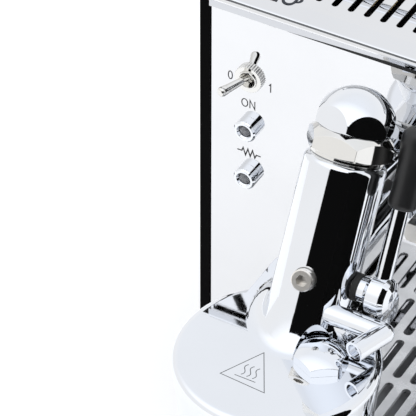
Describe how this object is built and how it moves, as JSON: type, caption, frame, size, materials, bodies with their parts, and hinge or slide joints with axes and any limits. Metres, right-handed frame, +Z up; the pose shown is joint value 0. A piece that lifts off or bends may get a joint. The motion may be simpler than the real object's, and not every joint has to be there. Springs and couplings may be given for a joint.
{
  "type": "espresso machine",
  "caption": "Boxy polished-steel espresso machine with a chrome lever group on a leaning cylinder, portafilter, steam and hot-water wands, drip tray, cup rail and rear water tank.",
  "frame": {"origin": "middle of the whole footprint, on the surface that the feet stand on", "axes": "+Z up, -Y towards the user, +X to the right of a user who faces the machine"},
  "size_m": [0.25, 0.5691, 0.396],
  "materials": {
    "polished_steel": "mirror-polished stainless sheet",
    "chrome": "bright chrome plate",
    "black_paint": "black semi-gloss powder coat",
    "brushed_steel": "brushed stainless",
    "zinc_steel": "zinc-plated steel",
    "black_plastic": "moulded black plastic",
    "tank_plastic": "translucent water tank plastic",
    "rubber": "black rubber",
    "copper": "bare copper",
    "brass": "bare brass",
    "screw_steel": "satin stainless",
    "lens": "clear grey lens",
    "gauge_glass": "clear glass",
    "dial_white": "matt white dial",
    "needle_black": "matt black",
    "hose": "silicone hose"
  },
  "bodies": {
    "machine": {"base_frame": "zinc_steel", "feet": "rubber", "left_side_panel": "black_paint", "right_side_panel": "black_paint", "front_panel": "polished_steel", "top_cover": "polished_steel", "rear_panel": "brushed_steel", "casing_screws": "screw_steel", "mains_inlet": "black_plastic", "cup_rail": "chrome", "toggle_switch": "chrome", "toggle_nut": "chrome", "lamp_bezels": "chrome", "lamp_lenses": "lens", "gauge_case": "chrome", "gauge_dial": "dial_white", "gauge_glass": "gauge_glass", "steam_valve": "chrome", "water_valve": "chrome", "wand_sockets": "chrome", "wand_nuts": "chrome", "group_body": "chrome", "group_collar_nut": "chrome", "group_cap_nut": "chrome", "group_plug": "chrome", "group_screw": "screw_steel", "group_side_port": "chrome", "group_bolts": "screw_steel", "group_gasket": "rubber", "shower_screen": "brushed_steel", "lever_seal": "rubber", "plunger_spring": "screw_steel", "tank_valve": "black_plastic", "boiler": "copper", "heating_element": "brass", "boiler_cradle": "zinc_steel", "pressurestat": "black_plastic", "boiler_valves": "brass", "pump": "zinc_steel", "control_box": "black_plastic", "boiler_pipes": "copper", "suction_hose": "hose"},
    "switch_lever": {"toggle_lever": "chrome"},
    "gauge_pointer": {"gauge_needle": "needle_black"},
    "steam_tap": {"steam_knob": "black_plastic"},
    "water_tap": {"water_knob": "black_plastic"},
    "steam_arm": {"steam_wand": "chrome"},
    "water_arm": {"water_wand": "chrome"},
    "lever": {"brew_lever": "chrome", "lever_grip": "black_plastic", "lever_shaft": "screw_steel"},
    "plunger": {"brew_plunger": "brass"},
    "portafilter": {"portafilter_body": "chrome", "portafilter_handle": "black_plastic", "portafilter_spout": "chrome", "filter_basket": "brushed_steel"},
    "tray": {"drip_tray": "polished_steel"},
    "grid": {"drip_grid": "brushed_steel"},
    "tank": {"water_tank": "tank_plastic"},
    "lid": {"tank_lid": "black_plastic"}
  },
  "joints": [
    {"name": "power_switch", "type": "hinge", "parent": "machine", "child": "switch_lever", "pos_m": [-0.0917, 0.03681, 0.3143], "axis": [0, 0, 1], "range_deg": [0, 36.4]},
    {"name": "gauge_sweep", "type": "hinge", "parent": "machine", "child": "gauge_pointer", "pos_m": [0.056, 0.03431, 0.322], "axis": [0, 1, 0], "range_deg": [0, 260], "stiffness_Nm_per_rad": 0.0002},
    {"name": "steam_tap_turn", "type": "hinge", "parent": "machine", "child": "steam_tap", "pos_m": [0.098, 0.03431, 0.268], "axis": [0, -1, 0], "range_deg": [0, 270]},
    {"name": "water_tap_turn", "type": "hinge", "parent": "machine", "child": "water_tap", "pos_m": [0.098, 0.03431, 0.318], "axis": [0, -1, 0], "range_deg": [0, 270]},
    {"name": "steam_wand_swivel", "type": "hinge", "parent": "machine", "child": "steam_arm", "pos_m": [0.1, 0.01031, 0.216], "axis": [0, 0, 1], "range_deg": [-25, 60]},
    {"name": "water_wand_swivel", "type": "hinge", "parent": "machine", "child": "water_arm", "pos_m": [0.066, 0.01031, 0.216], "axis": [0, 0, 1], "range_deg": [-45, 25]},
    {"name": "brew_lever_turn", "type": "hinge", "parent": "machine", "child": "lever", "pos_m": [0, -0.05054, 0.26616], "axis": [1, 0, 0], "range_deg": [0, 75]},
    {"name": "plunger_lift", "type": "slide", "parent": "machine", "child": "plunger", "axis": [0, 0.4462, 0.8949], "range_m": [0, 0.0031]},
    {"name": "portafilter_lock", "type": "hinge", "parent": "machine", "child": "portafilter", "pos_m": [0, -0.09819, 0.206], "axis": [0, 0, 1], "range_deg": [-48, 0]},
    {"name": "tray_slide", "type": "slide", "parent": "machine", "child": "tray", "axis": [0, -1, 0], "range_m": [0, 0.15]},
    {"name": "grid_lift", "type": "slide", "parent": "tray", "child": "grid", "axis": [0, 0, 1], "range_m": [0, 0.02]},
    {"name": "tank_lift", "type": "slide", "parent": "machine", "child": "tank", "axis": [0, 0, 1], "range_m": [0, 0.2]},
    {"name": "lid_hinge", "type": "hinge", "parent": "tank", "child": "lid", "pos_m": [0, 0.26431, 0.3695], "axis": [-1, 0, 0], "range_deg": [0, 95]}
  ],
  "couplings": [
    {"joint": "plunger_lift", "follows": "brew_lever_turn", "m_per_rad": 0.002292}
  ]
}
